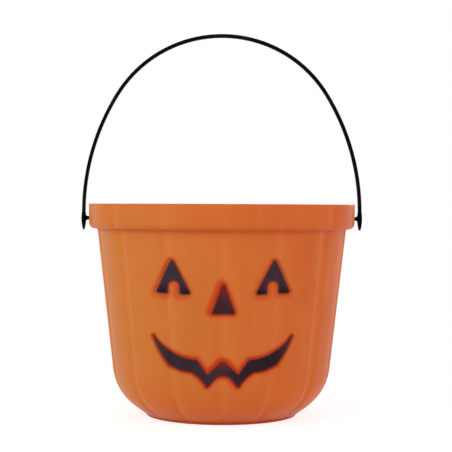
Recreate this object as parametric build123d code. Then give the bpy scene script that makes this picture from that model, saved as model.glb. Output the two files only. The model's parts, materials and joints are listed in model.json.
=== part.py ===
from build123d import *
import os
from math import atan2, cos, degrees, radians, sin, tan

# Pumpkin candy pail: a moulded shell with lobes and a sunken face, and a strap handle on two pegs
# Origin at the centre of the standing ring's lower face, +Z up, the face looks along -Y
# The handle's pegs lie along X. Lengths are in millimetres and angles in degrees

# Pail shell, sizes of the outside measured at the middle of a lobe
PAIL_HEIGHT = 165.6
RIM_RADIUS = 105.0
RIM_BAND_HEIGHT = 19.4
RIM_BAND_DRAFT = 1.0
RIM_CORNER_RADIUS = 4.5
RIM_LEDGE_WIDTH = 0.8
RIM_LIP_ROUND = 0.6
BODY_DRAFT = 6.56
BODY_NECK_FILLET = 1.5
BOWL_START_HEIGHT = 36.8
BOWL_RADIUS = 42.1
BOWL_END_ANGLE = 55.0
FOOT_INSET = 1.6
FOOT_WIDTH = 3.0
FOOT_HEIGHT = 2.2
WALL = 1.3

# Lobes: each is turned about an axis of its own, set off from the pail's axis
LOBE_COUNT = 14
LOBE_AXIS_OFFSET = 27.0

# Sunken face and its paint
FACE_DEPTH = 1.2
FACE_MARGIN = 1.8
PAINT_THICKNESS = 0.2

# Eyes, measured from the tip at the top of the eye
EYE_TIP_OFFSET = 37.8
EYE_TIP_HEIGHT = 126.2
EYE_HEIGHT = 26.2
EYE_INNER_REACH = 13.9
EYE_OUTER_REACH = 11.5
EYE_OUTER_LIFT = 0.8
EYE_NOTCH_WIDTH = 9.0
EYE_NOTCH_HEIGHT = 9.8
EYE_NOTCH_SHIFT = 1.4
EYE_CORNER_ROUND = 1.2

# Nose
NOSE_TIP_HEIGHT = 107.6
NOSE_HEIGHT = 21.9
NOSE_WIDTH = 16.6
NOSE_CORNER_ROUND = 0.8

# Mouth: the right half's points are shares of the half width and of the height
MOUTH_HALF_WIDTH = 51.8
MOUTH_HEIGHT = 39.0
MOUTH_BOTTOM_HEIGHT = 31.4
MOUTH_TIP_ROUND = 0.3
TOOTH_ROUND = 0.9
JAW_ROUND = 6.0
SHARP_TIP_SHARE = 0.4
MOUTH_SHARES = {
    "chin crown": (0.0, 0.228),
    "chin side": (0.135, 0.142),
    "drop tip": (0.222, 0.0),
    "jaw side": (0.341, 0.201),
    "jaw": (0.450, 0.296),
    "lower lip": (0.615, 0.329),
    "cheek": (0.766, 0.427),
    "cheek side": (0.896, 0.678),
    "smile tip": (1.0, 1.0),
    "upper lip": (0.693, 0.625),
    "tooth corner": (0.373, 0.517),
    "tooth tip": (0.220, 0.235),
    "hump side": (0.053, 0.444),
    "hump crown": (0.0, 0.472),
}

# Carry handle: the strap's middle line is an arch of three arcs on two upright tabs at the pegs
PEG_AXIS_DROP = 11.2
HANDLE_RISE = 144.4
HANDLE_CROWN_INSET = 12.0
STRAP_TAB_LENGTH = 5.0
STRAP_WIDTH = 8.0
STRAP_THICKNESS = 2.4
STRAP_EDGE_ROUND = 0.7
END_DISC_DIAMETER = 18.5
END_DISC_THICKNESS = 3.6
END_DISC_EDGE = 1.1
END_DISC_ROUND = 0.5
END_DISC_GAP = 2.4
PEG_DIAMETER = 3.0
PEG_CLEARANCE = 0.08
PEG_ROOT_DIAMETER = 4.6
PEG_ROOT_LENGTH = 1.0
SNAP_HEAD_DIAMETER = 5.4
SNAP_HEAD_EDGE = 0.6
SNAP_TIP_DIAMETER = 2.4
SNAP_HEAD_LENGTH = 2.6
SNAP_HEAD_GAP = 0.4

# Cutting solids run past the faces that they cut by this much
CUT_OVERRUN = 5.0

# Heights and places that follow from the sizes above
RIM_BOTTOM_HEIGHT = PAIL_HEIGHT - RIM_BAND_HEIGHT
LOBE_PITCH = 360.0 / LOBE_COUNT
FRONT_CREASE_ANGLE = -90.0
ALL_LOBES = range(LOBE_COUNT)
FRONT_LOBES = range(-3, 3)
FACE_PLANE = Plane.XZ.offset(RIM_RADIUS / 2)
PEG_AXIS_HEIGHT = PAIL_HEIGHT - PEG_AXIS_DROP
HANDLE_HALF_SPAN = RIM_RADIUS + END_DISC_GAP + END_DISC_THICKNESS / 2
HANDLE_CROWN_RADIUS = HANDLE_HALF_SPAN - HANDLE_CROWN_INSET


def along(angle):
    """Unit direction in a section, turned down from the outward level direction by an angle."""
    return Vector(cos(radians(angle)), -sin(radians(angle)))


def arc_round(centre, radius, start, end):
    """Arc in a section about a centre, between two angles turned down from the outward direction."""
    middle = (start + end) / 2
    ends = [centre + radius * along(angle) for angle in (start, middle, end)]
    return ThreePointArc(*ends)


def round_centres():
    """Centres of the three rounds in a lobe's section: under the rim band, at the neck and at the bowl."""
    corner_height = RIM_BOTTOM_HEIGHT + RIM_CORNER_RADIUS
    band_radius = RIM_RADIUS - (PAIL_HEIGHT - corner_height) * tan(radians(RIM_BAND_DRAFT))
    corner_radius = band_radius - RIM_CORNER_RADIUS / cos(radians(RIM_BAND_DRAFT))
    corner = Vector(corner_radius, corner_height)
    neck = Vector(corner_radius - RIM_LEDGE_WIDTH, RIM_BOTTOM_HEIGHT - BODY_NECK_FILLET)
    body_top = neck - BODY_NECK_FILLET * along(BODY_DRAFT)
    body_foot_radius = body_top.X - (body_top.Y - BOWL_START_HEIGHT) * tan(radians(BODY_DRAFT))
    bowl = Vector(body_foot_radius, BOWL_START_HEIGHT) - BOWL_RADIUS * along(BODY_DRAFT)
    return corner, neck, bowl


def bowl_round(centre, radius):
    """Round at the foot of the wall: a circle's arc as a weighted curve on its two end tangents."""
    half_turn = (BOWL_END_ANGLE - BODY_DRAFT) / 2
    weight = cos(radians(half_turn))
    start = centre + radius * along(BODY_DRAFT)
    tangents_meet = centre + radius / weight * along(BODY_DRAFT + half_turn)
    end = centre + radius * along(BOWL_END_ANGLE)
    return Bezier(start, tangents_meet, end, weights=[1, weight, 1])


def floor_edge(inset):
    """Where the cone below the bowl's round meets the floor, the outside moved in by inset."""
    bowl_centre = round_centres()[-1]
    bowl_end = bowl_centre + (BOWL_RADIUS - inset) * along(BOWL_END_ANGLE)
    floor_height = FOOT_HEIGHT + inset
    cone_run = (bowl_end.Y - floor_height) * tan(radians(BOWL_END_ANGLE))
    return Vector(bowl_end.X - cone_run, floor_height)


def lobe_section(inset, lip_turn):
    """Half section of one lobe, its outside moved in by inset, closed along the lobe's own axis.

    A lip_turn of 1 rounds the top edge off and a lip_turn of -1 flares it out.
    """
    corner_centre, neck_centre, bowl_centre = round_centres()
    corner = arc_round(corner_centre, RIM_CORNER_RADIUS - inset, RIM_BAND_DRAFT, 90)
    neck = arc_round(neck_centre, BODY_NECK_FILLET + inset, -90, BODY_DRAFT - 180)
    bowl = bowl_round(bowl_centre, BOWL_RADIUS - inset)

    # Lip at the top of the band
    lip_drop = RIM_LIP_ROUND * tan(radians(RIM_BAND_DRAFT))
    lip_radius = RIM_RADIUS - lip_drop - inset / cos(radians(RIM_BAND_DRAFT))
    lip_centre = Vector(lip_radius - lip_turn * RIM_LIP_ROUND, PAIL_HEIGHT - RIM_LIP_ROUND)
    lip = arc_round(lip_centre, RIM_LIP_ROUND, -90, 90 * (lip_turn - 1))

    floor_middle = Vector(LOBE_AXIS_OFFSET, FOOT_HEIGHT + inset)
    top_middle = Vector(LOBE_AXIS_OFFSET, PAIL_HEIGHT)
    lines = [
        Line(top_middle, lip @ 0),
        Line(lip @ 1, corner @ 0),
        Line(corner @ 1, neck @ 0),
        Line(neck @ 1, bowl @ 0),
        Line(bowl @ 1, floor_edge(inset)),
        Line(floor_edge(inset), floor_middle),
        Line(floor_middle, top_middle),
    ]
    return make_face(lines + [lip, corner, neck, bowl])


def lobe_wedge():
    """Wedge about the pail's axis that holds one lobe, from crease to crease, about +X."""
    length = RIM_RADIUS + CUT_OVERRUN
    half_width = length * tan(radians(LOBE_PITCH / 2))
    triangle = make_face(Polyline((0, 0), (length, -half_width), (length, half_width), close=True))
    return extrude(triangle, amount=PAIL_HEIGHT + CUT_OVERRUN)


def lobed_solid(inset, lip_turn, lobes):
    """Solid of the chosen lobes about a core, its outside moved in by inset from the pail's outside."""
    lobe_axis = Axis((LOBE_AXIS_OFFSET, 0, 0), (0, 0, 1))
    turned = revolve(Plane.XZ * lobe_section(inset, lip_turn), lobe_axis)
    lobe = turned & lobe_wedge()
    floor_height = FOOT_HEIGHT + inset
    core_base = Pos(0, 0, floor_height)
    core_height = PAIL_HEIGHT - floor_height
    bottom_up = (Align.CENTER, Align.CENTER, Align.MIN)
    core = core_base * Cylinder(LOBE_AXIS_OFFSET, core_height, align=bottom_up)
    first_angle = FRONT_CREASE_ANGLE + LOBE_PITCH / 2
    return core + [Rot(0, 0, first_angle + index * LOBE_PITCH) * lobe for index in lobes]


def eye_outline(growth):
    """Outline of the right eye grown all round: a triangle with a round-topped notch in its foot."""
    foot_height = EYE_TIP_HEIGHT - EYE_HEIGHT
    tip = (EYE_TIP_OFFSET, EYE_TIP_HEIGHT)
    outer_foot = (EYE_TIP_OFFSET + EYE_OUTER_REACH, foot_height + EYE_OUTER_LIFT)
    inner_foot = (EYE_TIP_OFFSET - EYE_INNER_REACH, foot_height)
    triangle = make_face(Polyline(tip, outer_foot, inner_foot, close=True))
    notch_offset = EYE_TIP_OFFSET - EYE_NOTCH_SHIFT
    arch_height = foot_height + EYE_NOTCH_HEIGHT - EYE_NOTCH_WIDTH / 2
    arch = Pos(notch_offset, arch_height) * Circle(EYE_NOTCH_WIDTH / 2)
    under = (Align.CENTER, Align.MAX)
    legs = Pos(notch_offset, arch_height) * Rectangle(EYE_NOTCH_WIDTH, EYE_NOTCH_HEIGHT, align=under)
    eye = triangle - (arch + legs)
    by_height = eye.vertices().sort_by(Axis.Y)
    eye = fillet(by_height[:4] + by_height[-1:], EYE_CORNER_ROUND)
    return offset(eye, growth) if growth else eye


def left_eye_outline(growth):
    """Outline of the left eye, the right one mirrored."""
    return mirror(eye_outline(growth), Plane.YZ)


def nose_outline(growth):
    """Outline of the nose grown all round: a triangle with its corners rounded."""
    foot_height = NOSE_TIP_HEIGHT - NOSE_HEIGHT
    half_width = NOSE_WIDTH / 2
    tip = (0, NOSE_TIP_HEIGHT)
    triangle = make_face(Polyline(tip, (half_width, foot_height), (-half_width, foot_height), close=True))
    if growth:
        triangle = offset(triangle, growth, kind=Kind.INTERSECTION)
    return fillet(triangle.vertices(), NOSE_CORNER_ROUND)


def mouth_points(growth):
    """Points of the mouth's right half by name, each moved out square to the sides that meet there.

    A sharp tip moves out less than its sides would take it.
    """
    right = []
    for across_share, up_share in MOUTH_SHARES.values():
        height = MOUTH_BOTTOM_HEIGHT + up_share * MOUTH_HEIGHT
        right.append(Vector(across_share * MOUTH_HALF_WIDTH, height))
    left_ends = [Vector(-point.X, point.Y) for point in (right[1], right[-2])]
    chain = left_ends[:1] + right + left_ends[1:]
    moved = {}
    for name, before, point, after in zip(MOUTH_SHARES, chain, right, chain[2:]):
        arriving = (point - before).normalized()
        leaving = (after - point).normalized()
        outward = Vector(arriving.Y + leaving.Y, -arriving.X - leaving.X)
        openness = max(1 + arriving.dot(leaving), SHARP_TIP_SHARE)
        moved[name] = point + outward * (growth / openness)
    return moved


def mouth_outline(growth):
    """Outline of the mouth grown all round: a smile with two teeth above and two drops below."""
    points = mouth_points(growth)
    sides = [{name: Vector(side * point.X, point.Y) for name, point in points.items()} for side in (1, -1)]
    right, left = sides
    lines = [
        ThreePointArc(left["chin side"], right["chin crown"], right["chin side"]),
        ThreePointArc(left["hump side"], right["hump crown"], right["hump side"]),
    ]
    for spot in sides:
        lines += [
            Line(spot["chin side"], spot["drop tip"]),
            ThreePointArc(spot["drop tip"], spot["jaw side"], spot["jaw"]),
            ThreePointArc(spot["jaw"], spot["lower lip"], spot["cheek"]),
            ThreePointArc(spot["cheek"], spot["cheek side"], spot["smile tip"]),
            ThreePointArc(spot["smile tip"], spot["upper lip"], spot["tooth corner"]),
            Line(spot["tooth corner"], spot["tooth tip"]),
            Line(spot["tooth tip"], spot["hump side"]),
        ]
    mouth = make_face(lines)
    rounds = {
        "smile tip": MOUTH_TIP_ROUND,
        "tooth corner": TOOTH_ROUND + growth,
        "drop tip": TOOTH_ROUND + growth,
        "tooth tip": TOOTH_ROUND - growth,
        "jaw": JAW_ROUND - growth,
    }
    for name, radius in rounds.items():
        for spot in sides:
            if radius > 0:
                corner = mouth.vertices().sort_by_distance(spot[name])[0]
                mouth = fillet(corner, radius)
    return mouth


def face_prism(outline):
    """Bar along Y with an outline of the face, from inside the pail to beyond its front."""
    return extrude(FACE_PLANE * outline, amount=RIM_RADIUS / 2)


def standing_ring():
    """Plain round ring that the pail stands on, let into the floor."""
    bottom_up = (Align.CENTER, Align.CENTER, Align.MIN)
    height = FOOT_HEIGHT + WALL / 2
    radius = floor_edge(0).X - FOOT_INSET
    outside = Cylinder(radius, height, align=bottom_up)
    inside = Cylinder(radius - FOOT_WIDTH, height, align=bottom_up)
    return outside - inside


def pail_shell(outlines, recess_floor):
    """Moulded shell: lobed wall and floor, sunken face backed by pads, ring and peg holes."""
    shell = lobed_solid(0, 1, ALL_LOBES) - lobed_solid(WALL, -1, ALL_LOBES)
    shell += standing_ring()
    half_wall = lobed_solid(WALL / 2, 1, FRONT_LOBES)
    pad_back = lobed_solid(WALL + FACE_DEPTH, 1, FRONT_LOBES)
    for outline in outlines:
        shell += (face_prism(outline(FACE_MARGIN + WALL)) & half_wall) - pad_back
        shell -= face_prism(outline(FACE_MARGIN)) - recess_floor
    peg_hole = Cylinder(PEG_DIAMETER / 2 + PEG_CLEARANCE, 2 * RIM_RADIUS + CUT_OVERRUN)
    return shell - Pos(0, 0, PEG_AXIS_HEIGHT) * Rot(0, 90, 0) * peg_hole


def paint_film(outline, film_front, recess_floor):
    """Film of paint on the floor of one sunken part of the face."""
    return (face_prism(outline(0)) & film_front) - recess_floor


def strap_section(place, outward, forward):
    """Section of the strap at a place, its thickness along outward and its run along forward."""
    section_plane = Plane(origin=place, x_dir=outward, z_dir=forward)
    return section_plane * RectangleRounded(STRAP_THICKNESS, STRAP_WIDTH, STRAP_EDGE_ROUND)


def strap_arc(centre, radius, start, end):
    """Stretch of strap bent about an axis along Y, between two angles turned up from +X."""
    outward = Vector(cos(radians(start)), 0, sin(radians(start)))
    forward = Vector(-sin(radians(start)), 0, cos(radians(start)))
    section = strap_section(centre + radius * outward, outward, forward)
    return revolve(section, Axis(centre, (0, -1, 0)), end - start)


def strap_tab(side):
    """Upright stretch of strap that rises from the peg on one side."""
    section = strap_section((side * HANDLE_HALF_SPAN, 0, PEG_AXIS_HEIGHT), (1, 0, 0), (0, 0, 1))
    return extrude(section, amount=STRAP_TAB_LENGTH)


def strap_arch():
    """Strap from peg to peg: two tabs, and a crown arc with two wider side arcs that meet it smoothly."""
    bend_height = PEG_AXIS_HEIGHT + STRAP_TAB_LENGTH
    crown_lift = HANDLE_RISE - STRAP_TAB_LENGTH - HANDLE_CROWN_RADIUS
    span_squares = HANDLE_HALF_SPAN**2 + crown_lift**2 - HANDLE_CROWN_RADIUS**2
    side_radius = span_squares / (2 * HANDLE_CROWN_INSET)
    side_offset = side_radius - HANDLE_HALF_SPAN
    meeting = degrees(atan2(crown_lift, side_offset))
    crown_centre = Vector(0, 0, bend_height + crown_lift)
    right_centre = Vector(-side_offset, 0, bend_height)
    left_centre = Vector(side_offset, 0, bend_height)
    crown = strap_arc(crown_centre, HANDLE_CROWN_RADIUS, meeting, 180 - meeting)
    right = strap_arc(right_centre, side_radius, 0, meeting)
    left = strap_arc(left_centre, side_radius, 180 - meeting, 180)
    return strap_tab(1) + right + crown + left + strap_tab(-1)


def end_disc():
    """Round end of the strap about the X axis: both faces are domed and the edge is thin."""
    pole = END_DISC_THICKNESS / 2
    edge = END_DISC_EDGE / 2
    radius = END_DISC_DIAMETER / 2
    outside = TangentArc((pole, 0), (edge, radius), tangent=(0, 1))
    inside = TangentArc((-pole, 0), (-edge, radius), tangent=(0, 1))
    lines = [outside, inside, Line(inside @ 1, outside @ 1), Line(inside @ 0, outside @ 0)]
    section = make_face(lines)
    section = fillet(section.vertices().sort_by(Axis.Y)[-2:], END_DISC_ROUND)
    return revolve(section, Axis.X)


def strap_end():
    """Right end of the handle: a round disc, and a peg with a snap head inside the rim."""
    disc = Pos(HANDLE_HALF_SPAN, 0, 0) * end_disc()
    disc_inside = HANDLE_HALF_SPAN - END_DISC_THICKNESS / 2
    rim_inside = RIM_RADIUS - PEG_AXIS_DROP * tan(radians(RIM_BAND_DRAFT)) - WALL
    head_base = rim_inside - SNAP_HEAD_GAP
    head_tip = head_base - SNAP_HEAD_LENGTH
    half_section = Polyline(
        (HANDLE_HALF_SPAN, 0),
        (HANDLE_HALF_SPAN, PEG_ROOT_DIAMETER / 2),
        (disc_inside, PEG_ROOT_DIAMETER / 2),
        (disc_inside - PEG_ROOT_LENGTH, PEG_DIAMETER / 2),
        (head_base, PEG_DIAMETER / 2),
        (head_base, SNAP_HEAD_DIAMETER / 2),
        (head_base - SNAP_HEAD_EDGE, SNAP_HEAD_DIAMETER / 2),
        (head_tip, SNAP_TIP_DIAMETER / 2),
        (head_tip, 0),
        close=True,
    )
    peg = revolve(make_face(half_section), Axis.X)
    return Pos(0, 0, PEG_AXIS_HEIGHT) * (disc + peg)


def carry_handle():
    """Handle in one piece: the strap with a disc and a peg at each end."""
    right_end = strap_end()
    return strap_arch() + right_end + mirror(right_end, Plane.YZ)


def build_nodes():
    """All pieces of the pail by name."""
    outlines = {
        "left_eye": left_eye_outline,
        "right_eye": eye_outline,
        "nose": nose_outline,
        "mouth": mouth_outline,
    }
    recess_floor = lobed_solid(FACE_DEPTH, 1, FRONT_LOBES)
    film_front = lobed_solid(FACE_DEPTH - PAINT_THICKNESS, 1, FRONT_LOBES)
    nodes = {"pail_shell": pail_shell(outlines.values(), recess_floor)}
    for name, outline in outlines.items():
        nodes[f"{name}_paint"] = paint_film(outline, film_front, recess_floor)
    nodes["carry_handle"] = carry_handle()
    return nodes


os.makedirs("parts", exist_ok=True)
for name, solid in build_nodes().items():
    export_step(solid, f"parts/{name}.step")
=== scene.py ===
import json
from math import cos, pi, radians, sin, tan

import bpy
import numpy as np
from mathutils.geometry import delaunay_2d_cdt
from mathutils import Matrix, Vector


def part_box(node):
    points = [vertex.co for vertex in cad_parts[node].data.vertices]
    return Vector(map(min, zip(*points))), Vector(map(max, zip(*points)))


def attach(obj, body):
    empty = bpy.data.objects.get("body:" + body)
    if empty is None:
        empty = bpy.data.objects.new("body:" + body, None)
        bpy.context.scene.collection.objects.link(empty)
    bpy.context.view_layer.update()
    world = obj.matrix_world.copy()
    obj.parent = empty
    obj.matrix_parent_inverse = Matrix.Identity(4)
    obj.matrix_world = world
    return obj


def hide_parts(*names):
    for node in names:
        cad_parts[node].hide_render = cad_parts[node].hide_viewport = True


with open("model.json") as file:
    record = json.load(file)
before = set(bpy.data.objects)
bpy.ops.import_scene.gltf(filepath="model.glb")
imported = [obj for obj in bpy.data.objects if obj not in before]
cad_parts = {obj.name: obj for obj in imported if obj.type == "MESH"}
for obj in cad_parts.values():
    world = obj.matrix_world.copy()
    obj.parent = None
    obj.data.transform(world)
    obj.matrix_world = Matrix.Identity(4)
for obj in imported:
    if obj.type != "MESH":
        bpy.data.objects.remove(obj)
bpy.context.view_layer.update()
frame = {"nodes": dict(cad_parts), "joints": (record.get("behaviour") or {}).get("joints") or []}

# Shell, sizes of the outside measured at the middle of a lobe
PAIL_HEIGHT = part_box("pail_shell")[1].z
RIM_RADIUS = 0.105
RIM_BAND_HEIGHT = 0.0194
RIM_BAND_FOOT = PAIL_HEIGHT - RIM_BAND_HEIGHT
RIM_BAND_DRAFT = 1.0
RIM_CORNER_RADIUS = 0.0045
RIM_LEDGE_WIDTH = 0.0008
LIP_ROUND = 0.00055
BODY_DRAFT = 6.56
NECK_FILLET = 0.0015
BOWL_START_HEIGHT = 0.0368
BOWL_RADIUS = 0.0421
BOWL_END_ANGLE = 55.0
FOOT_INSET = 0.0016
FOOT_WIDTH = 0.003
FOOT_HEIGHT = 0.0022
FOOT_EDGE_ROUND = 0.0007
WALL = 0.0013
FLOOR_MIDDLE_RADIUS = 0.006

# Lobes: a soft swell from crease to crease, and a narrow valley with round shoulders at each one
LOBE_COUNT = 14
LOBE_PITCH = 360 / LOBE_COUNT
LOBE_SWELL = 0.00035
CREASE_DEPTH = 0.0013
CREASE_HALF_ANGLE = 3.7
INSIDE_CREASE_SHARE = 0.8
FLOOR_CREASE_SHARE = 0.3
# On the rim band each lobe is an arc about an axis of its own, set off from the pail's axis
LOBE_AXIS_OFFSET = 0.027
BAND_LOBE_SHARE = 1.06
BAND_CREASE_SOFTNESS = 0.5
BAND_CREASE_DEPTH = 0.0005
BAND_CREASE_SHARE = 0.5

# Sunken face: the wall of each hollow runs from its edge down to its foot, both measured out from
# the paint
FACE_NODES = ("left_eye_paint", "right_eye_paint", "nose_paint", "mouth_paint")
HOLLOW_DEPTH = 0.0012
HOLLOW_EDGE = 0.0026
HOLLOW_FOOT = 0.0010
FACE_BORDER = 3 * HOLLOW_EDGE
LEAST_SLANT = 0.5
PAINT_THICKNESS = 0.0002
PAINT_EDGE_ROUND = 0.0005
PAINT_FADE = 0.0012
PAINT_SUNK = 0.00005
PAINT_GRID = 0.0007

# Red-brown and dark spots in the sprayed paint, the dark ones on the mouth's right half painted
# shade: place across, height, reach and share
RED_BROWN_SPOTS = (
    (0.0, 0.1075, 0.0080, 1.0),
    (0.0, 0.0900, 0.0100, 0.08),
    (0.0, 0.0505, 0.0050, 0.85),
    (-0.0500, 0.0680, 0.0060, 0.35),
    (0.0500, 0.0680, 0.0070, 0.35),
)
# Painted shade: the dark spots on the mouth's right half
DARK_SPOTS = (
    (-0.0450, 0.1000, 0.0050, 1.0),
    (-0.0275, 0.0995, 0.0050, 1.0),
    (0.0450, 0.1000, 0.0050, 1.0),
    (0.0275, 0.0995, 0.0050, 1.0),
    (0.0, 0.0880, 0.0110, 0.5),
    (-0.0300, 0.0520, 0.0200, 0.3),
    (0.0140, 0.0420, 0.0100, 0.5),
    (0.0330, 0.0520, 0.0150, 0.75),
)
# Dark fringe of paint on the plastic: how far each part's fringe is blown across and up, its start
# and its end
FRINGE_SHIFTS = {
    "left_eye_paint": (0.0005, -0.0003),
    "right_eye_paint": (-0.0002, -0.0003),
    "nose_paint": (0.0003, 0.0),
    "mouth_paint": (0.0, -0.0003),
}
FRINGE_START = -0.0012
FRINGE_END = 0.0022
# Red mist round each part, partly paint blown past the mask and partly painted shade on the
# hollow's walls: its share, its edge, and how far it is blown across and up
MIST_AND_WALL_SHADE = {
    "left_eye_paint": (0.52, 0.0028, -0.0010, -0.0008),
    "right_eye_paint": (0.45, 0.0025, -0.0007, -0.0009),
    "nose_paint": (0.85, 0.0032, -0.0010, 0.0012),
    "mouth_paint": (0.88, 0.0022, -0.0002, 0.0002),
}
MIST_AND_WALL_SHADE_FADE = (0.0012, 0.0021)
# Where the edge of the mist and the painted wall shade lies further out, or further in at the tips:
# place across, height, size and more distance
MIST_AND_WALL_SHADE_PLACES = (
    (-0.0010, 0.0480, 0.0130, 0.0017),
    (-0.0370, 0.0960, 0.0100, 0.0012),
    (0.0350, 0.0960, 0.0100, 0.0012),
    (-0.0500, 0.0670, 0.0130, -0.0014),
    (0.0500, 0.0670, 0.0130, -0.0014),
)
# Deeper red on the rim band, and painted shade where the wall turns in under it and at the foot:
# share and reach
BAND_RED = (0.13, 0.0040)
NECK_PAINTED_SHADE = (0.16, 0.0016)
FOOT_PAINTED_SHADE = (0.65, 0.0050)

# Peg holes in the rim band
PEG_AXIS_HEIGHT = frame["joints"][0]["pos_m"][2]
PEG_HOLE_RADIUS = 0.00158
PEG_HOLE_SIDES = 48

# Mesh of the shell: columns in each lobe, drawn together at the creases of the back lobes, and rows
# in each stretch of the section, finer by a step near the face
FRONT_LOBES = 2
FRONT_LOBE_COLUMNS = 36
BACK_LOBE_COLUMNS = 18
COLUMN_GATHER = 0.6
FINE_STEP = 3
FACE_ROW = 0.0012
INSIDE_ROW_SHARE = 0.5
UNDERSIDE_ROWS = 8
RING_ROWS = 2
CONE_ROWS = 4
NECK_ROWS = 3
CORNER_ROWS = 6
BAND_ROWS = 8
LIP_ROWS = 4
FLOOR_ROWS = 10
REFINE_NEAR = 0.0030
REFINE_INSIDE = -0.0006
# What the table of the section's rows holds in its columns
ROW_COLUMNS = 5
RADIUS, HEIGHT, CREASED, WITHIN, BANDED = range(ROW_COLUMNS)

# Limits in the sums: faces that look to the front, digits of a place, points worked out at once,
# what counts as nothing, rounds until a place settles, and how close two points are one
FRONT_NORMAL = -0.3
PLACE_DIGITS = 6
POINTS_AT_ONCE = 4000
NEAR_ZERO = 1e-18
SETTLING_ROUNDS = 4
SAME_POINT = 1e-7


def smooth_step(start, end, values):
    """Shares that go smoothly from 0 at start to 1 at end."""
    share = np.clip((values - start) / (end - start), 0, 1)
    return share * share * (3 - 2 * share)


def outline_of(node):
    """Points (x, z) round a film of paint, in order, read from the front faces of its solid."""
    mesh = frame["nodes"][node].data
    corner = {}
    uses = {}
    for polygon in mesh.polygons:
        if polygon.normal.y > FRONT_NORMAL:
            continue
        names = []
        for index in polygon.vertices:
            place = mesh.vertices[index].co
            name = (round(place.x, PLACE_DIGITS), round(place.z, PLACE_DIGITS))
            corner[name] = (place.x, place.z)
            names.append(name)
        for first, second in zip(names, names[1:] + names[:1]):
            uses[first, second] = uses.get((first, second), 0) + 1
    following = {first: second for first, second in uses if (second, first) not in uses}
    start = min(following)
    loop = [start]
    while following[loop[-1]] != start:
        loop.append(following[loop[-1]])
    return np.array([corner[name] for name in loop])


def outline_distance(points, outline):
    """Distance of points (x, z) from an outline, below zero inside it."""
    ends = np.roll(outline, -1, axis=0)
    run = ends - outline
    length_squares = np.maximum((run**2).sum(axis=1), NEAR_ZERO)
    distances = []
    for part in np.array_split(points, max(1, len(points) // POINTS_AT_ONCE)):
        offset = part[:, None, :] - outline[None, :, :]
        share = np.clip((offset * run).sum(axis=2) / length_squares, 0, 1)
        nearest = offset - share[:, :, None] * run
        distance = np.sqrt((nearest**2).sum(axis=2).min(axis=1))
        above = outline[None, :, 1] > part[:, None, 1]
        crosses = above != (ends[None, :, 1] > part[:, None, 1])
        rise = np.where(run[:, 1] == 0, NEAR_ZERO, run[:, 1])
        crossing = outline[:, 0] + (part[:, None, 1] - outline[:, 1]) * run[:, 0] / rise
        inside = (crosses & (part[:, None, 0] < crossing)).sum(axis=1) % 2 == 1
        distances.append(np.where(inside, -distance, distance))
    return np.concatenate(distances)


OUTLINES = {node: outline_of(node) for node in FACE_NODES}


def face_distance(points):
    """Distance of points (x, z) from the nearest painted outline, below zero on the paint."""
    return np.min([outline_distance(points, outline) for outline in OUTLINES.values()], axis=0)


def straight(start, end, rows):
    """Points (radius, height) along a straight stretch of the section, both ends included."""
    share = np.linspace(0, 1, rows * FINE_STEP + 1)[:, None]
    return np.array(start) + share * (np.array(end) - np.array(start))


def turned(centre, radius, start, end, rows):
    """Points of an arc of the section, its angles turned down from the outward level direction."""
    angle = np.radians(np.linspace(start, end, rows * FINE_STEP + 1))
    return np.array(centre) + radius * np.column_stack([np.cos(angle), -np.sin(angle)])


def on_arc(centre, radius, angle):
    """One point of an arc of the section."""
    return turned(centre, radius, angle, angle, 1)[0]


def round_centres():
    """Centres of the rounds under the rim band, at the neck and at the bowl."""
    corner_height = RIM_BAND_FOOT + RIM_CORNER_RADIUS
    band_radius = RIM_RADIUS - (PAIL_HEIGHT - corner_height) * tan(radians(RIM_BAND_DRAFT))
    corner_radius = band_radius - RIM_CORNER_RADIUS / cos(radians(RIM_BAND_DRAFT))
    corner = np.array([corner_radius, corner_height])
    neck = np.array([corner_radius - RIM_LEDGE_WIDTH, RIM_BAND_FOOT - NECK_FILLET])
    body_top = on_arc(neck, NECK_FILLET, BODY_DRAFT - 180)
    body_foot_radius = body_top[0] - (body_top[1] - BOWL_START_HEIGHT) * tan(radians(BODY_DRAFT))
    body_foot = np.array([body_foot_radius, BOWL_START_HEIGHT])
    bowl = body_foot - on_arc((0, 0), BOWL_RADIUS, BODY_DRAFT)
    return corner, neck, bowl


def floor_edge(inset):
    """Where the cone below the bowl's round meets the floor, the outside moved in by inset."""
    bowl_end = on_arc(round_centres()[2], BOWL_RADIUS - inset, BOWL_END_ANGLE)
    floor_height = FOOT_HEIGHT + inset
    lean = tan(radians(BOWL_END_ANGLE))
    return np.array([bowl_end[0] - (bowl_end[1] - floor_height) * lean, floor_height])


def foot_stretches():
    """Underside of the floor and the standing ring, from the middle out."""
    edge = FOOT_EDGE_ROUND
    outside = floor_edge(0)[0] - FOOT_INSET
    inside = outside - FOOT_WIDTH
    return [
        straight((FLOOR_MIDDLE_RADIUS, FOOT_HEIGHT), (inside - edge, FOOT_HEIGHT), UNDERSIDE_ROWS),
        turned((inside - edge, FOOT_HEIGHT - edge), edge, -90, 0, RING_ROWS),
        straight((inside, FOOT_HEIGHT - edge), (inside, edge), 1),
        turned((inside + edge, edge), edge, 180, 90, RING_ROWS),
        straight((inside + edge, 0), (outside - edge, 0), RING_ROWS),
        turned((outside - edge, edge), edge, 90, 0, RING_ROWS),
        straight((outside, edge), (outside, FOOT_HEIGHT - edge / 2), 1),
        turned((outside + edge / 2, FOOT_HEIGHT - edge / 2), edge / 2, 180, 270, 1),
        straight((outside + edge / 2, FOOT_HEIGHT), floor_edge(0), RING_ROWS),
    ]


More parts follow.
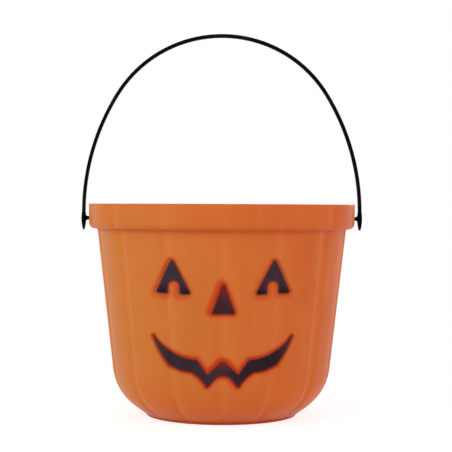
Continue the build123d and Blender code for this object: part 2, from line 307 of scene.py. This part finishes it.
def wall_stretches(inset, row_share):
    """Wall from the floor's edge up to the lip, moved in by inset, with a share of its rows."""
    corner, neck, bowl = round_centres()
    face_turn = FACE_ROW / BOWL_RADIUS
    bowl_rows = int(radians(BOWL_END_ANGLE - BODY_DRAFT) / face_turn * row_share)
    body_foot = on_arc(bowl, BOWL_RADIUS - inset, BODY_DRAFT)
    body_top = on_arc(neck, NECK_FILLET + inset, BODY_DRAFT - 180)
    body_rows = int((body_top[1] - body_foot[1]) / FACE_ROW * row_share)
    ledge_start = on_arc(neck, NECK_FILLET + inset, -90)
    ledge_end = on_arc(corner, RIM_CORNER_RADIUS - inset, 90)
    band_foot = on_arc(corner, RIM_CORNER_RADIUS - inset, RIM_BAND_DRAFT)
    lip_height = PAIL_HEIGHT - LIP_ROUND
    lean = tan(radians(RIM_BAND_DRAFT))
    lip = (band_foot[0] + (lip_height - band_foot[1]) * lean, lip_height)
    return [
        straight(floor_edge(inset), on_arc(bowl, BOWL_RADIUS - inset, BOWL_END_ANGLE), CONE_ROWS),
        turned(bowl, BOWL_RADIUS - inset, BOWL_END_ANGLE, BODY_DRAFT, bowl_rows),
        straight(body_foot, body_top, body_rows),
        turned(neck, NECK_FILLET + inset, BODY_DRAFT - 180, -90, NECK_ROWS),
        straight(ledge_start, ledge_end, 1),
        turned(corner, RIM_CORNER_RADIUS - inset, 90, RIM_BAND_DRAFT, CORNER_ROWS),
        straight(band_foot, lip, BAND_ROWS),
    ]


def section_rows():
    """Rows of the whole section: under the floor, out, up, over the lip and down to the middle.

    Gives for each row its radius, its height, its share of the body's creases, whether it is on the
    inside, and its share of the band's lobes.
    """
    outside = wall_stretches(0, 1)
    inside = wall_stretches(WALL, INSIDE_ROW_SHARE)
    half_lip = WALL / 2
    lip_middle = outside[-1][-1] - (half_lip, 0)
    lip = [turned(lip_middle, half_lip, 0, -180, LIP_ROWS)]
    lip[0][:, 1] = lip_middle[1] + (lip[0][:, 1] - lip_middle[1]) * LIP_ROUND / half_lip
    back = [stretch[::-1] for stretch in inside[::-1]]
    floor = [straight(back[-1][-1], (FLOOR_MIDDLE_RADIUS, back[-1][-1][1]), FLOOR_ROWS)]
    foot = foot_stretches()
    groups = [
        (foot, 0, False),
        (outside, 1, False),
        (lip, 1, False),
        (back, 1, True),
        (floor, 0, True),
    ]
    rows = []
    for stretches, creased, within in groups:
        for stretch in stretches:
            fresh = np.zeros((len(stretch), ROW_COLUMNS))
            fresh[:, [RADIUS, HEIGHT]] = stretch
            fresh[:, CREASED] = creased
            fresh[:, WITHIN] = within
            rows.append(fresh[1:] if rows else fresh)
    rows = np.concatenate(rows)
    edge, bowl_end = floor_edge(0), on_arc(round_centres()[2], BOWL_RADIUS, BOWL_END_ANGLE)
    up_cone = smooth_step(edge[1], bowl_end[1], rows[:, HEIGHT])
    rows[:, CREASED] *= FLOOR_CREASE_SHARE + (1 - FLOOR_CREASE_SHARE) * up_cone
    neck_height = RIM_BAND_FOOT - NECK_FILLET
    on_band = smooth_step(neck_height, neck_height + RIM_CORNER_RADIUS, rows[:, HEIGHT])
    rows[:, BANDED] = rows[:, CREASED] * on_band
    rows[:, CREASED] *= 1 - on_band
    inside_share = np.where(rows[:, WITHIN] > 0, INSIDE_CREASE_SHARE, 1)
    rows[:, [CREASED, BANDED]] *= inside_share[:, None]
    return rows


def column_angles():
    """Angles round the pail from the middle of the front, in degrees: closer in the front lobes."""
    angles = []
    for lobe in range(LOBE_COUNT):
        from_front = min(lobe, LOBE_COUNT - 1 - lobe)
        columns = FRONT_LOBE_COLUMNS if from_front < FRONT_LOBES else BACK_LOBE_COLUMNS
        share = np.linspace(0, 1, columns * FINE_STEP + 1)[:-1]
        if columns == BACK_LOBE_COLUMNS:
            share = share - COLUMN_GATHER * np.sin(2 * pi * share) / (2 * pi)
        angles.append((lobe + share) * LOBE_PITCH)
    return np.concatenate(angles)


def off_crease(angle):
    """Degrees to the nearest crease, for angles from the front."""
    return np.abs((angle + LOBE_PITCH / 2) % LOBE_PITCH - LOBE_PITCH / 2)


def crease_sink(angle):
    """How far in the outside lies at angles from the front, and each one's share of the crease."""
    aside = off_crease(angle)
    valley = np.clip(1 - (aside / CREASE_HALF_ANGLE) ** 2, 0, 1) ** 2
    swell = (1 - 2 * aside / LOBE_PITCH) ** 2
    return LOBE_SWELL * swell + CREASE_DEPTH * valley, valley


def band_sink(angle):
    """How far in the rim band lies at angles from the front."""
    off_middle = np.radians(LOBE_PITCH / 2 - np.hypot(off_crease(angle), BAND_CREASE_SOFTNESS))
    arc_radius = RIM_RADIUS - LOBE_AXIS_OFFSET
    aside = LOBE_AXIS_OFFSET * np.sin(off_middle)
    radius = LOBE_AXIS_OFFSET * np.cos(off_middle) + np.sqrt(arc_radius**2 - aside**2)
    return BAND_LOBE_SHARE * (RIM_RADIUS - radius)


def shell_cells(refined, columns):
    """Polygons over the rows and columns of the shell, as numbers of fine points.

    A refined cell is split by the fine step, and its coarse neighbours take in the points on their
    shared edge.
    """
    rows = refined.shape[0]
    around = columns * FINE_STEP

    def point(column, row):
        return row * around + column % around

    steps = range(FINE_STEP)
    cells = []
    for row in range(rows):
        low, high = row * FINE_STEP, (row + 1) * FINE_STEP
        for column in range(columns):
            left, right = column * FINE_STEP, (column + 1) * FINE_STEP
            if refined[row, column]:
                for up in steps:
                    for across in steps:
                        x, y = left + across, low + up
                        ring = ((x, y), (x + 1, y), (x + 1, y + 1), (x, y + 1))
                        cells.append([point(*corner) for corner in ring])
                continue
            below = row > 0 and refined[row - 1, column]
            above = row < rows - 1 and refined[row + 1, column]
            cell = [point(left + step, low) for step in (steps if below else (0,))]
            beside = refined[row, (column + 1) % columns]
            cell += [point(right, low + step) for step in (steps if beside else (0,))]
            cell += [point(right - step, high) for step in (steps if above else (0,))]
            beside = refined[row, column - 1]
            cell += [point(left, high - step) for step in (steps if beside else (0,))]
            cells.append(cell)
    first = [point(column * FINE_STEP, 0) for column in range(columns)]
    last = [point(column * FINE_STEP, rows * FINE_STEP) for column in range(columns)]
    return cells + [first[::-1], last]


def hollow_share(points, widening):
    """Share of the hollow's depth at points (x, z) of the front, its wall moved out by widening."""
    distance = face_distance(points)
    return 1 - smooth_step(HOLLOW_FOOT + widening / 2, HOLLOW_EDGE + widening, distance)


def spot_share(points, spots):
    """Sum of soft round spots at points (x, z)."""
    total = np.zeros(len(points))
    for across, height, reach, share in spots:
        total += share * np.exp(-((points - (across, height)) ** 2).sum(axis=1) / reach**2)
    return total


def mist_and_wall_shade_share(points):
    """Share of red paint mist and painted shade of the hollows' walls at points (x, z) of the
    front.
    """
    further = spot_share(points, MIST_AND_WALL_SHADE_PLACES)
    shares = []
    for node, (share, edge, *blown) in MIST_AND_WALL_SHADE.items():
        out = outline_distance(points - blown, OUTLINES[node]) - edge - further
        shares.append(share * (1 - smooth_step(-MIST_AND_WALL_SHADE_FADE[0], MIST_AND_WALL_SHADE_FADE[1], out)))
    return np.max(shares, axis=0)


def band_red_and_painted_shade(heights):
    """Share of deeper red up the outside: on the rim band, and painted shade at the neck and at the
    foot.
    """
    neck_height = RIM_BAND_FOOT - NECK_FILLET / 2
    band = BAND_RED[0] * smooth_step(neck_height - BAND_RED[1], neck_height, heights)
    # Painted shade under the rim band and at the foot
    neck = NECK_PAINTED_SHADE[0] * np.exp(-(((heights - neck_height) / NECK_PAINTED_SHADE[1]) ** 2))
    foot = FOOT_PAINTED_SHADE[0] * (1 - smooth_step(0, FOOT_PAINTED_SHADE[1], heights))
    return band + neck + foot


def fringe_share(points):
    """Share of the dark fringe of paint at points (x, z) of the front."""
    distances = [
        outline_distance(points - blown, OUTLINES[node]) for node, blown in FRINGE_SHIFTS.items()
    ]
    return 1 - smooth_step(FRINGE_START, FRINGE_END, np.min(distances, axis=0))


def is_front(places):
    """Points of the wall that lie in the rectangle of the face."""
    low = np.min([outline.min(axis=0) for outline in OUTLINES.values()], axis=0) - FACE_BORDER
    high = np.max([outline.max(axis=0) for outline in OUTLINES.values()], axis=0) + FACE_BORDER
    flat = places[:, [0, 2]]
    return (places[:, 1] < 0) & np.all((flat > low) & (flat < high), axis=1)


def new_piece(name, places, faces, body):
    """Smooth mesh piece that rides on a body."""
    mesh = bpy.data.meshes.new(name)
    mesh.from_pydata(places.tolist(), [], faces)
    mesh.polygons.foreach_set("use_smooth", [True] * len(mesh.polygons))
    mesh.update()
    piece = bpy.data.objects.new(name, mesh)
    bpy.context.scene.collection.objects.link(piece)
    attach(piece, body)
    return piece


def give_shares(piece, name, shares):
    """Keeps one number for each vertex, for the material to read."""
    layer = piece.data.attributes.new(name, "FLOAT", "POINT")
    layer.data.foreach_set("value", np.asarray(shares, dtype=np.float32))


def shell_points(rows, angles, row_numbers, column_numbers):
    """Places of chosen points of the plain lobed shell, with each one's crease share."""
    sink, valley = crease_sink(angles[column_numbers])
    row = rows[row_numbers]
    band = band_sink(angles[column_numbers]) + BAND_CREASE_DEPTH * valley
    radius = row[:, RADIUS] - sink * row[:, CREASED] - band * row[:, BANDED]
    turn = np.radians(angles[column_numbers] - 90)
    places = np.column_stack([radius * np.cos(turn), radius * np.sin(turn), row[:, HEIGHT]])
    return places, valley * (row[:, CREASED] + row[:, BANDED] * BAND_CREASE_SHARE)


def sink_face(places, within):
    """Moves the points of the front in along Y to make the hollows of the face."""
    share = np.zeros(len(places))
    for side, widening in ((False, 0), (True, WALL)):
        chosen = is_front(places) & (within == side)
        share[chosen] = hollow_share(places[chosen][:, [0, 2]], widening)
    slant = -places[:, 1] / np.maximum(np.hypot(places[:, 0], places[:, 1]), WALL)
    places[:, 1] += share * HOLLOW_DEPTH / np.maximum(slant, LEAST_SLANT)


def make_shell(rows):
    """Orange shell in one piece: foot, wall, rim, inside and floor, with the face's hollows."""
    angles = column_angles()
    row_count, columns = (len(rows) - 1) // FINE_STEP, len(angles) // FINE_STEP
    cell_rows, cell_columns = np.divmod(np.arange(row_count * columns), columns)
    middle_rows = cell_rows * FINE_STEP + FINE_STEP // 2
    middle_columns = cell_columns * FINE_STEP + FINE_STEP // 2
    centres, _ = shell_points(rows, angles, middle_rows, middle_columns)
    refined = np.zeros(len(centres), dtype=bool)
    near = is_front(centres) & (rows[cell_rows * FINE_STEP, WITHIN] == 0)
    distance = face_distance(centres[near][:, [0, 2]])
    refined[near] = (distance > REFINE_INSIDE) & (distance < REFINE_NEAR)
    cells = shell_cells(refined.reshape(row_count, columns), columns)
    used = np.unique(np.concatenate(cells))
    number = np.zeros(used.max() + 1, dtype=int)
    number[used] = np.arange(len(used))
    faces = [number[cell].tolist() for cell in cells]
    row_numbers, column_numbers = np.divmod(used, columns * FINE_STEP)
    places, crease = shell_points(rows, angles, row_numbers, column_numbers)
    sink_face(places, rows[row_numbers, WITHIN] > 0)
    shell = new_piece("shell", places, faces, "pail")
    outside = rows[row_numbers, WITHIN] == 0
    front = is_front(places) & outside
    # Deep red share: the rim band, painted shade at the neck and the foot, and on the front the
    # paint's mist with painted shade of the hollows' walls
    red = band_red_and_painted_shade(places[:, 2]) * outside
    red[front] = mist_and_wall_shade_share(places[front][:, [0, 2]])
    fringe = np.zeros(len(places))
    fringe[front] = fringe_share(places[front][:, [0, 2]])
    give_shares(shell, "red", red)
    give_shares(shell, "fringe", fringe)
    give_shares(shell, "crease", crease)
    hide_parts("pail_shell")
    return shell


def bore_peg_holes(shell):
    """Bores the two holes for the handle's pegs through the rim band."""
    bpy.ops.mesh.primitive_cylinder_add(
        vertices=PEG_HOLE_SIDES,
        radius=PEG_HOLE_RADIUS,
        depth=2 * RIM_RADIUS + RIM_BAND_HEIGHT,
        location=(0, 0, PEG_AXIS_HEIGHT),
        rotation=(0, pi / 2, 0),
    )
    drill = bpy.context.object
    cut = shell.modifiers.new("peg_holes", "BOOLEAN")
    cut.operation = "DIFFERENCE"
    cut.solver = "EXACT"
    cut.object = drill
    bpy.context.view_layer.update()
    drilled = shell.evaluated_get(bpy.context.evaluated_depsgraph_get())
    bored = bpy.data.meshes.new_from_object(drilled)
    shell.modifiers.clear()
    shell.data = bored
    bpy.data.objects.remove(drill)


def front_of(points, rows):
    """Outside's Y at points (x, z) of the front, before the hollows.

    Gives as well how squarely the outside faces the front there.
    """
    wall = rows[rows[:, WITHIN] == 0]
    peak = np.argmax(wall[:, HEIGHT])
    start = np.argmax(wall[:, HEIGHT] > FOOT_HEIGHT + FOOT_EDGE_ROUND)
    wall = wall[start:peak]
    wall = wall[np.argsort(wall[:, HEIGHT])]
    middle = np.interp(points[:, 1], wall[:, HEIGHT], wall[:, RADIUS])
    creased = np.interp(points[:, 1], wall[:, HEIGHT], wall[:, CREASED])
    radius = middle
    for _ in range(SETTLING_ROUNDS):
        angle = np.degrees(np.arcsin(points[:, 0] / radius))
        radius = middle - crease_sink(angle)[0] * creased
    return -np.sqrt(radius**2 - points[:, 0] ** 2), np.sqrt(1 - (points[:, 0] / radius) ** 2)


def paint_points(outline):
    """Points (x, z) of a film of paint and its triangles.

    The points are the outline's, and a close grid of triangles' corners inside it.
    """
    low, high = outline.min(axis=0), outline.max(axis=0)
    across = np.arange(low[0], high[0], PAINT_GRID)
    up = np.arange(low[1], high[1], PAINT_GRID * sin(radians(60)))
    shifts = PAINT_GRID / 2 * (np.arange(len(up)) % 2)
    grid = np.array([(x + shift, z) for shift, z in zip(shifts, up) for x in across])
    inner = grid[outline_distance(grid, outline) < -PAINT_GRID / 2]
    points = np.concatenate([outline, inner])
    rim = [(index, (index + 1) % len(outline)) for index in range(len(outline))]
    flat, _, triangles, _, _, _ = delaunay_2d_cdt(points.tolist(), rim, [], 1, SAME_POINT)
    flat = np.array([(point.x, point.y) for point in flat])
    return flat, [list(triangle) for triangle in triangles]


def facing_front(flat, triangles):
    """Triangles turned so that they face the front, -Y."""
    turned_right = []
    for a, b, c in triangles:
        first, second = flat[b] - flat[a], flat[c] - flat[a]
        area = first[0] * second[1] - first[1] * second[0]
        turned_right.append([a, b, c] if area > 0 else [a, c, b])
    return turned_right


def make_paint(node, rows):
    """One film of paint on the floor of its hollow, rounded down at its edge."""
    flat, triangles = paint_points(OUTLINES[node])
    triangles = facing_front(flat, triangles)
    distance = -outline_distance(flat, OUTLINES[node])
    front, slant = front_of(flat, rows)
    rise = PAINT_THICKNESS * np.sqrt(smooth_step(-PAINT_EDGE_ROUND / 4, PAINT_EDGE_ROUND, distance))
    top = np.column_stack([flat[:, 0], front + (HOLLOW_DEPTH - rise) / slant, flat[:, 1]])
    back = np.column_stack([flat[:, 0], front + (HOLLOW_DEPTH + PAINT_SUNK) / slant, flat[:, 1]])
    count = len(flat)
    edges = set()
    for triangle in triangles:
        edges.update(zip(triangle, triangle[1:] + triangle[:1]))
    rim = [(a, b) for a, b in edges if (b, a) not in edges]
    faces = triangles + [[index + count for index in triangle[::-1]] for triangle in triangles]
    faces += [[b, a, a + count, b + count] for a, b in sorted(rim)]
    name = node.replace("_paint", "_film")
    paint = new_piece(name, np.concatenate([top, back]), faces, "pail")
    give_shares(paint, "cover", np.tile(distance / PAINT_FADE, 2))
    give_shares(paint, "red_brown_spots", np.tile(spot_share(flat, RED_BROWN_SPOTS), 2))
    give_shares(paint, "dark_spots", np.tile(spot_share(flat, DARK_SPOTS), 2))
    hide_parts(node)
    return paint


# Sockets of the node that mixes two colours: its share, both colours and the result
MIX_SHARE, MIX_FIRST, MIX_SECOND, MIX_RESULT = 0, 6, 7, 2


class Shade:
    """A value, colour or vector in a material's nodes, written in sums like a number."""

    def __init__(self, socket):
        self.socket = socket

    def node(self, kind, settings, inputs, output=0):
        """Adds a node with its settings and its sockets filled, and gives one of its outputs."""
        tree = self.socket.id_data
        made = tree.nodes.new(kind)
        for name, setting in settings.items():
            setattr(made, name, setting)
        for name, filling in inputs.items():
            if isinstance(filling, Shade):
                tree.links.new(filling.socket, made.inputs[name])
            else:
                made.inputs[name].default_value = filling
        return None if output is None else Shade(made.outputs[output])

    def maths(self, operation, first, second):
        """Outcome of a sum, a product or the like of two values."""
        return self.node("ShaderNodeMath", {"operation": operation}, {0: first, 1: second})

    def __add__(self, other):
        return self.maths("ADD", self, other)

    def __sub__(self, other):
        return self.maths("SUBTRACT", self, other)

    def __rsub__(self, other):
        return self.maths("SUBTRACT", other, self)

    def __mul__(self, other):
        return self.maths("MULTIPLY", self, other)

    __radd__ = __add__
    __rmul__ = __mul__

    def larger(self, other):
        """Larger of two values."""
        return self.maths("MAXIMUM", self, other)

    def stretched(self, shares):
        """A vector with each of its parts multiplied by a share."""
        return self.node("ShaderNodeVectorMath", {"operation": "MULTIPLY"}, {0: self, 1: shares})

    def noise(self, scale, detail):
        """Soft cloudy pattern from 0 to 1 over a place, with so many clouds to the metre."""
        inputs = {"Vector": self, "Scale": scale, "Detail": detail}
        return self.node("ShaderNodeTexNoise", {}, inputs)

    def smooth(self, start, end):
        """0 at start, 1 at end, with a smooth way between."""
        inputs = {"Value": self, "From Min": start, "From Max": end}
        return self.node("ShaderNodeMapRange", {"interpolation_type": "SMOOTHSTEP"}, inputs)

    def colours(self, first, second):
        """Mix of two colours by this share."""
        inputs = {MIX_SHARE: self, MIX_FIRST: first, MIX_SECOND: second}
        return self.node("ShaderNodeMix", {"data_type": "RGBA"}, inputs, MIX_RESULT)

    def bump(self, strength, distance):
        """Normal of a surface with this height."""
        inputs = {"Height": self, "Strength": strength, "Distance": distance}
        return self.node("ShaderNodeBump", {}, inputs)

    def part(self, name):
        """One of the three parts of a place or vector."""
        return self.node("ShaderNodeSeparateXYZ", {}, {"Vector": self}, name)

    def kept(self, name):
        """Number that each vertex keeps under a name."""
        return self.node("ShaderNodeAttribute", {"attribute_name": name}, {}, "Fac")

    def surface(self, inputs):
        """Puts a plastic or paint surface with these sockets on the material."""
        shader = self.node("ShaderNodeBsdfPrincipled", {}, inputs)
        shader.node("ShaderNodeOutputMaterial", {}, {"Surface": shader}, None)


def new_finish(name):
    """Empty material and the place on the object, in metres, that its patterns hang on."""
    material = bpy.data.materials.new(name)
    material.use_nodes = True
    material.node_tree.nodes.clear()
    place = material.node_tree.nodes.new("ShaderNodeTexCoord").outputs["Object"]
    return material, Shade(place)


# Colours of the finishes: red, green, blue and a full cover
# Painted light: yellower orange on the left and redder on the right, as the lamps light the sides
ORANGE_LEFT_PAINTED_LIGHT = (0.61, 0.184, 0.035, 1)
ORANGE_RIGHT_PAINTED_LIGHT = (0.60, 0.135, 0.027, 1)
ORANGE_CLOUD = (0.65, 0.175, 0.038, 1)
ORANGE_FLOW = (0.64, 0.200, 0.044, 1)
# Painted light: paler, redder orange towards the foot, where the bowl faces the floor
ORANGE_LOW_PAINTED_LIGHT = (0.77, 0.172, 0.038, 1)
# Painted highlight: lighter orange along the creases
CREASE_PAINTED_HIGHLIGHT = (0.80, 0.26, 0.07, 1)
# Deep red of the paint's mist and the rim band, and painted shade on the hollows' walls, under the
# band and at the foot
DEEP_RED = (0.58, 0.042, 0.006, 1)
FRINGE_DARK = (0.036, 0.009, 0.009, 1)
PAINT_CHARCOAL = (0.033, 0.021, 0.035, 1)
PAINT_CLOUD = (0.043, 0.026, 0.043, 1)
PAINT_DARK = (0.011, 0.002, 0.003, 1)
PAINT_RED_BROWN = (0.23, 0.014, 0.010, 1)
PAINT_EDGE = (0.15, 0.018, 0.013, 1)
HANDLE_BLACK = (0.0015, 0.0015, 0.0015, 1)
HANDLE_RUBBED = (0.009, 0.009, 0.0085, 1)
WHITE = (1, 1, 1, 1)
FLOOR_PALE = (0.9, 0.9, 0.9, 1)
FLOOR_DIM = (0.30, 0.30, 0.30, 1)

# Shares of the orange's lighter and redder colours, among them the painted light that makes it
# paler and redder towards the foot and the painted highlight along the creases, and of the grain
# and the flow marks in its height
CLOUD_SHARE = 0.5
FLOW_SHARE = 0.3
LOW_PAINTED_LIGHT_SHARE = 0.7
CREASE_HIGHLIGHT_SHARE = 0.2
GRAIN_RISE = 0.6
FLOW_RISE = 0.4
# Painted light: the orange turns from the yellower left to the redder right within this reach, and
# is painted paler and redder towards the foot below this height
PAINTED_LIGHT_REACH = 0.10
LOW_PAINTED_LIGHT_HEIGHT = 0.045

# Patterns of the finishes: how many to the metre, how far the flow marks run up, and the height of
# the grain
ORANGE_CLOUDS = 28.0
FLOW_MARKS = 150.0
FLOW_RUN = (1.0, 1.0, 0.14)
ORANGE_GRAINS = 2400.0
PAINT_CLOUDS = 120.0
PAINT_SPECKS = 1800.0
HANDLE_RUBS = 60.0
HANDLE_GRAINS = 2600.0
GRAIN_HEIGHT = 0.0002
# Where a pattern's soft step starts and ends, and how much the clouds shift the paint's cover
CLOUD_STEP = (0.3, 0.7)
FLOW_STEP = (0.4, 0.7)
RUB_STEP = (0.48, 0.75)
COVER_STEP = (-0.2, 1.0)
COVER_SHIFT = 0.4
# Roughness of each finish, its least and what its pattern adds, and the handle's coat likewise
ORANGE_ROUGHNESS = (0.36, 0.1)
PAINT_ROUGHNESS = (0.42, 0.12)
HANDLE_ROUGHNESS = (0.55, 0.15)
HANDLE_COAT = (0.02, 0.05)


def orange_plastic():
    """Thin satin orange plastic, a little see-through, with flow marks, the paint's mist, and
    painted light, highlights and shade.
    """
    material, place = new_finish("orange_plastic")
    cloud = place.noise(ORANGE_CLOUDS, 3.0)
    flow = place.stretched(FLOW_RUN).noise(FLOW_MARKS, 2.0)
    grain = place.noise(ORANGE_GRAINS, 2.0)
    # Painted light: the orange turns yellower to the left and redder to the right
    across = place.part("X").smooth(-PAINTED_LIGHT_REACH, PAINTED_LIGHT_REACH)
    # Painted light: the orange is painted paler and redder towards the foot
    low = 1 - place.part("Z").smooth(0.0, LOW_PAINTED_LIGHT_HEIGHT)
    colour = across.colours(ORANGE_LEFT_PAINTED_LIGHT, ORANGE_RIGHT_PAINTED_LIGHT)
    colour = (cloud.smooth(*CLOUD_STEP) * CLOUD_SHARE).colours(colour, ORANGE_CLOUD)
    colour = (flow.smooth(*FLOW_STEP) * FLOW_SHARE).colours(colour, ORANGE_FLOW)
    colour = (low * LOW_PAINTED_LIGHT_SHARE).colours(colour, ORANGE_LOW_PAINTED_LIGHT)
    # Painted highlight: lighter orange along the creases
    colour = (place.kept("crease") * CREASE_HIGHLIGHT_SHARE).colours(colour, CREASE_PAINTED_HIGHLIGHT)
    # Deep red: paint mist and the rim band, and painted shade on the hollows' walls, under the band
    # and at the foot
    colour = place.kept("red").colours(colour, DEEP_RED)
    colour = place.kept("fringe").colours(colour, FRINGE_DARK)
    height = grain * GRAIN_RISE + flow * FLOW_RISE
    place.surface({
        "Base Color": colour,
        "Roughness": ORANGE_ROUGHNESS[0] + flow * ORANGE_ROUGHNESS[1],
        "Normal": height.bump(0.12, GRAIN_HEIGHT),
        "Subsurface Weight": 0.3,
        "Subsurface Radius": (0.004, 0.0014, 0.0005),
        "Subsurface Scale": 1.0,
        "Specular IOR Level": 0.11,
    })
    return material


def face_paint():
    """Charcoal paint sprayed through a mask: thinner and red-brown at its edges, with red-brown and
    dark spots, and painted shade darkening the mouth's right half.
    """
    material, place = new_finish("face_paint")
    cloud = place.noise(PAINT_CLOUDS, 3.0)
    speck = place.noise(PAINT_SPECKS, 2.0)
    dark_spots = place.kept("dark_spots")
    cover = place.kept("cover") + (cloud - 0.5) * COVER_SHIFT + dark_spots * dark_spots
    colour = cloud.smooth(*CLOUD_STEP).colours(PAINT_CHARCOAL, PAINT_CLOUD)
    # Dark spots, with painted shade on the mouth's right half
    colour = dark_spots.colours(colour, PAINT_DARK)
    colour = place.kept("red_brown_spots").colours(colour, PAINT_RED_BROWN)
    colour = cover.smooth(*COVER_STEP).colours(PAINT_EDGE, colour)
    place.surface({
        "Base Color": colour,
        "Roughness": PAINT_ROUGHNESS[0] + speck * PAINT_ROUGHNESS[1],
        "Normal": speck.bump(0.15, GRAIN_HEIGHT),
        "Specular IOR Level": 0.08,
    })
    return material


def black_plastic():
    """Satin black plastic of the handle, with fine grain and faint rubbed patches."""
    material, place = new_finish("black_plastic")
    rub = place.noise(HANDLE_RUBS, 4.0)
    grain = place.noise(HANDLE_GRAINS, 2.0)
    place.surface({
        "Base Color": rub.smooth(*RUB_STEP).colours(HANDLE_BLACK, HANDLE_RUBBED),
        "Roughness": HANDLE_ROUGHNESS[0] + rub * HANDLE_ROUGHNESS[1],
        "Normal": grain.bump(0.1, GRAIN_HEIGHT),
        "Specular IOR Level": 0.0,
        "Coat Weight": HANDLE_COAT[0] + rub * HANDLE_COAT[1],
        "Coat Roughness": 0.25,
    })
    return material


def seen_share(start):
    """1 for what the camera sees, straight or mirrored, and 0 for light that falls on things."""
    path = start.node("ShaderNodeLightPath", {}, {})
    outputs = path.socket.node.outputs
    straight_on = Shade(outputs["Is Camera Ray"])
    mirrored = Shade(outputs["Is Glossy Ray"])
    through = Shade(outputs["Is Transmission Ray"])
    return straight_on.larger(mirrored.larger(through))


# Camera: as far off and as high as the photograph's, turned by a hair and with its frame shifted
CAMERA_DISTANCE = 1.071
CAMERA_HEIGHT = 0.1634
CAMERA_TURN = 0.8
CAMERA_ROLL = 0.25
LENS = 107.7
FRAME_SHIFT = (0.0090, -0.0421)


def make_camera():
    """Camera in front of the pail."""
    data = bpy.data.cameras.new("camera")
    data.lens = LENS
    data.shift_x, data.shift_y = FRAME_SHIFT
    camera = bpy.data.objects.new("camera", data)
    turn = radians(CAMERA_TURN)
    camera.location = (-CAMERA_DISTANCE * sin(turn), -CAMERA_DISTANCE * cos(turn), CAMERA_HEIGHT)
    camera.rotation_euler = (pi / 2, -radians(CAMERA_ROLL), -turn)
    bpy.context.scene.collection.objects.link(camera)
    bpy.context.scene.camera = camera


# Light: large soft lamps at the left, the right, above the front and behind, a weak low one in
# front, and an even sky. Each lamp has its place, size, power and colour
LAMPS = {
    "key_lamp": ((-1.5, -0.95, 0.70), 1.4, 15.3, (0.88, 1.0, 0.80)),
    "fill_lamp": ((1.5, -0.90, 0.55), 1.4, 11.6, (1.0, 0.64, 0.58)),
    "low_lamp": ((0.0, -1.5, 0.15), 1.0, 1.4, (1.0, 1.0, 1.0)),
    "top_lamp": ((0.0, -1.2, 1.35), 1.4, 3.6, (1.0, 1.0, 1.0)),
    "back_lamp": ((0.3, 1.5, 0.8), 1.4, 8.0, (1.0, 1.0, 1.0)),
}
LAMP_TARGET = (0.0, 0.0, 0.09)
SKY_STRENGTH = 0.43
FLOOR_SIZE = 30.0
FLOOR_GLOW = 0.82
SHADOW_REACH = (0.16, 0.42)


def make_lamp(name, place, size, power, colour):
    """Square soft lamp that looks at the pail."""
    data = bpy.data.lights.new(name, "AREA")
    data.size = size
    data.energy = power
    data.color = colour
    lamp = bpy.data.objects.new(name, data)
    lamp.location = place
    away = np.array(place) - np.array(LAMP_TARGET)
    level = np.hypot(away[0], away[1])
    lamp.rotation_euler = (np.arctan2(level, away[2]), 0, np.arctan2(away[1], away[0]) + pi / 2)
    bpy.context.scene.collection.objects.link(lamp)


def make_sky():
    """Even white sky, plain white where the camera sees it."""
    world = bpy.data.worlds.new("sky")
    bpy.context.scene.world = world
    world.use_nodes = True
    world.node_tree.nodes.clear()
    start = Shade(world.node_tree.nodes.new("ShaderNodeTexCoord").outputs["Generated"])
    soft = start.node("ShaderNodeBackground", {}, {"Color": WHITE, "Strength": SKY_STRENGTH})
    white = start.node("ShaderNodeBackground", {}, {"Color": WHITE, "Strength": 1.0})
    sky = start.node("ShaderNodeMixShader", {}, {0: seen_share(start), 1: soft, 2: white})
    sky.node("ShaderNodeOutputWorld", {}, {"Surface": sky}, None)


def make_floor():
    """Plain white floor that keeps the pail's soft shadow."""
    bpy.ops.mesh.primitive_plane_add(size=FLOOR_SIZE)
    floor = bpy.context.object
    floor.name = "floor"
    material, place = new_finish("white_floor")
    seen = seen_share(place)
    plain = place.node("ShaderNodeBsdfDiffuse", {}, {"Color": FLOOR_PALE})
    dim = place.node("ShaderNodeBsdfDiffuse", {}, {"Color": FLOOR_DIM})
    glow = place.node("ShaderNodeEmission", {}, {"Color": WHITE, "Strength": FLOOR_GLOW})
    white = place.node("ShaderNodeEmission", {}, {"Color": WHITE, "Strength": 1.0})
    near = place.node("ShaderNodeAddShader", {}, {0: dim, 1: glow})
    away = place.node("ShaderNodeVectorMath", {"operation": "LENGTH"}, {0: place}, "Value")
    far = away.smooth(*SHADOW_REACH)
    shown = place.node("ShaderNodeMixShader", {}, {0: far, 1: near, 2: white})
    mixed = place.node("ShaderNodeMixShader", {}, {0: seen, 1: plain, 2: shown})
    mixed.node("ShaderNodeOutputMaterial", {}, {"Surface": mixed}, None)
    floor.data.materials.append(material)


def dress():
    """Makes every piece and gives each its finish."""
    rows = section_rows()
    shell = make_shell(rows)
    bore_peg_holes(shell)
    shell.data.materials.clear()
    shell.data.materials.append(orange_plastic())
    paint = face_paint()
    for node in FACE_NODES:
        make_paint(node, rows).data.materials.append(paint)
    handle = frame["nodes"]["carry_handle"]
    handle.material_slots[0].material = black_plastic()


dress()
make_camera()
for name, (place, size, power, colour) in LAMPS.items():
    make_lamp(name, place, size, power, colour)
make_sky()
make_floor()
bpy.context.scene.view_settings.view_transform = "Standard"
